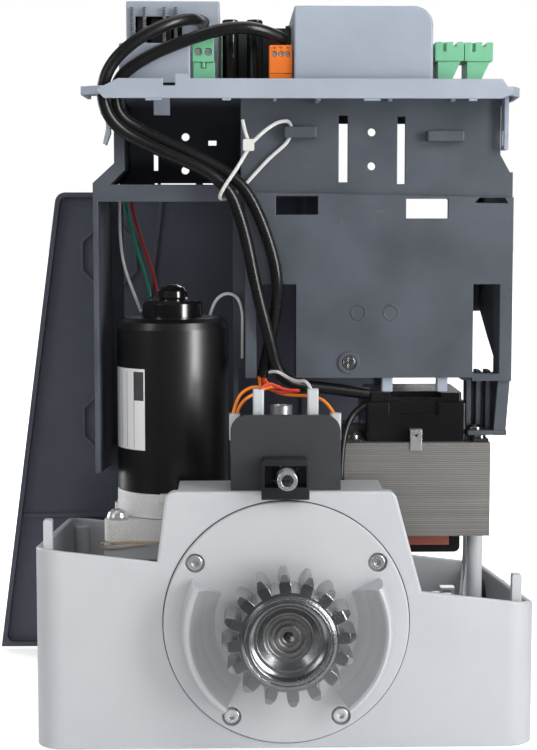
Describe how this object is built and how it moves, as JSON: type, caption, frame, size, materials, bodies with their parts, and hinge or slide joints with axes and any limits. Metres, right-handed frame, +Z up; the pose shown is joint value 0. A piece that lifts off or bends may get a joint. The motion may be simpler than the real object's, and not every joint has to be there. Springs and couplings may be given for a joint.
{
  "type": "sliding gate motor",
  "caption": "Sliding gate operator with its cover off: worm gearbox base with a rack pinion, upright motor, transformer, limit switch, plastic frame with a control tray and hinged rear door.",
  "frame": {"origin": "centre of the four floor fixing holes, on the underside of the base", "axes": "+Z up, -Y towards the rack pinion side, +X to the right seen from the pinion side"},
  "size_m": [0.338, 0.2688, 0.4204],
  "materials": {
    "casting": "satin light grey paint over a casting",
    "zinc": "bright zinc plated, turned",
    "steel": "bright machined steel",
    "bronze": "machined bronze",
    "alloy": "sand cast, as cast",
    "black": "glossy black",
    "motorblack": "gloss black paint",
    "dark": "matte dark grey moulding",
    "doordark": "matte dark grey moulding",
    "tray": "light bluish grey moulding",
    "green": "pale green",
    "orange": "orange",
    "board": "dark green laminate",
    "rubber": "black rubber",
    "cable": "black sheath",
    "wire": "coloured insulation",
    "nylon": "natural nylon",
    "lamination": "stacked laminations",
    "copper": "enamelled copper",
    "tape": "red-brown tape",
    "paper": "tan gasket paper",
    "magnet": "ferrite",
    "clear": "pale plastic"
  },
  "bodies": {
    "base": {"ball_bearings": "steel", "base_casting": "casting", "board_divider": "dark", "board_relays": "black", "cable_gland": "black", "cable_tie": "nylon", "capacitors": "black", "circuit_boards": "board", "control_tray": "tray", "core_clamps": "black", "cover_screws": "zinc", "earth_clamp": "zinc", "electronics_frame": "dark", "faston_blades": "zinc", "frame_screws": "zinc", "gearbox_cover": "casting", "heat_sink_pins": "zinc", "left_cover": "tray", "limit_bracket": "dark", "limit_housing": "black", "limit_switches": "black", "limit_wires": "wire", "locating_pegs": "tray", "motor_bolts": "zinc", "motor_can": "motorblack", "motor_cap": "black", "motor_flange": "alloy", "motor_gasket": "paper", "motor_magnets": "magnet", "motor_plate": "alloy", "motor_plug": "clear", "motor_wires": "wire", "orange_terminal": "orange", "release_bush": "casting", "right_cover": "tray", "ring_inductor": "copper", "shaft_seal": "rubber", "signal_cable": "cable", "supply_cable": "cable", "terminal_headers": "green", "terminal_plugs": "green", "terminal_screws": "zinc", "terminal_sleeves": "nylon", "transformer_bobbin": "black", "transformer_core": "lamination", "transformer_lead": "cable", "vent_spindle": "steel", "winding_tape": "tape"},
    "output": {"output_shaft": "steel", "rack_pinion": "zinc", "worm_wheel": "bronze"},
    "armature": {"worm_shaft": "steel", "motor_rotor": "copper"},
    "limit_lever": {"limit_spring": "steel", "limit_lever": "zinc"},
    "rear_door": {"rear_door": "doordark", "door_lock": "zinc", "hinge_pins": "steel"},
    "release": {"release_lever": "black"}
  },
  "joints": [
    {"name": "output_spin", "type": "hinge", "parent": "base", "child": "output", "pos_m": [0, -0.1, 0.0715], "axis": [0, 1, 0], "continuous": true},
    {"name": "armature_spin", "type": "hinge", "parent": "base", "child": "armature", "pos_m": [-0.065, -0.025, 0.15], "axis": [0, 0, 1], "continuous": true},
    {"name": "limit_swing", "type": "hinge", "parent": "base", "child": "limit_lever", "pos_m": [-0.0003, -0.1055, 0.1549], "axis": [0, 0, 1], "range_deg": [-22, 22], "stiffness_Nm_per_rad": 0.02},
    {"name": "door_swing", "type": "hinge", "parent": "base", "child": "rear_door", "pos_m": [0.084, 0.112, 0.15], "axis": [0, 0, -1], "range_deg": [0, 110]},
    {"name": "release_turn", "type": "hinge", "parent": "base", "child": "release", "pos_m": [0.022, 0.05, 0.1], "axis": [0, 1, 0], "range_deg": [0, 90]}
  ],
  "couplings": [
    {"joint": "armature_spin", "follows": "output_spin", "ratio": -36}
  ]
}
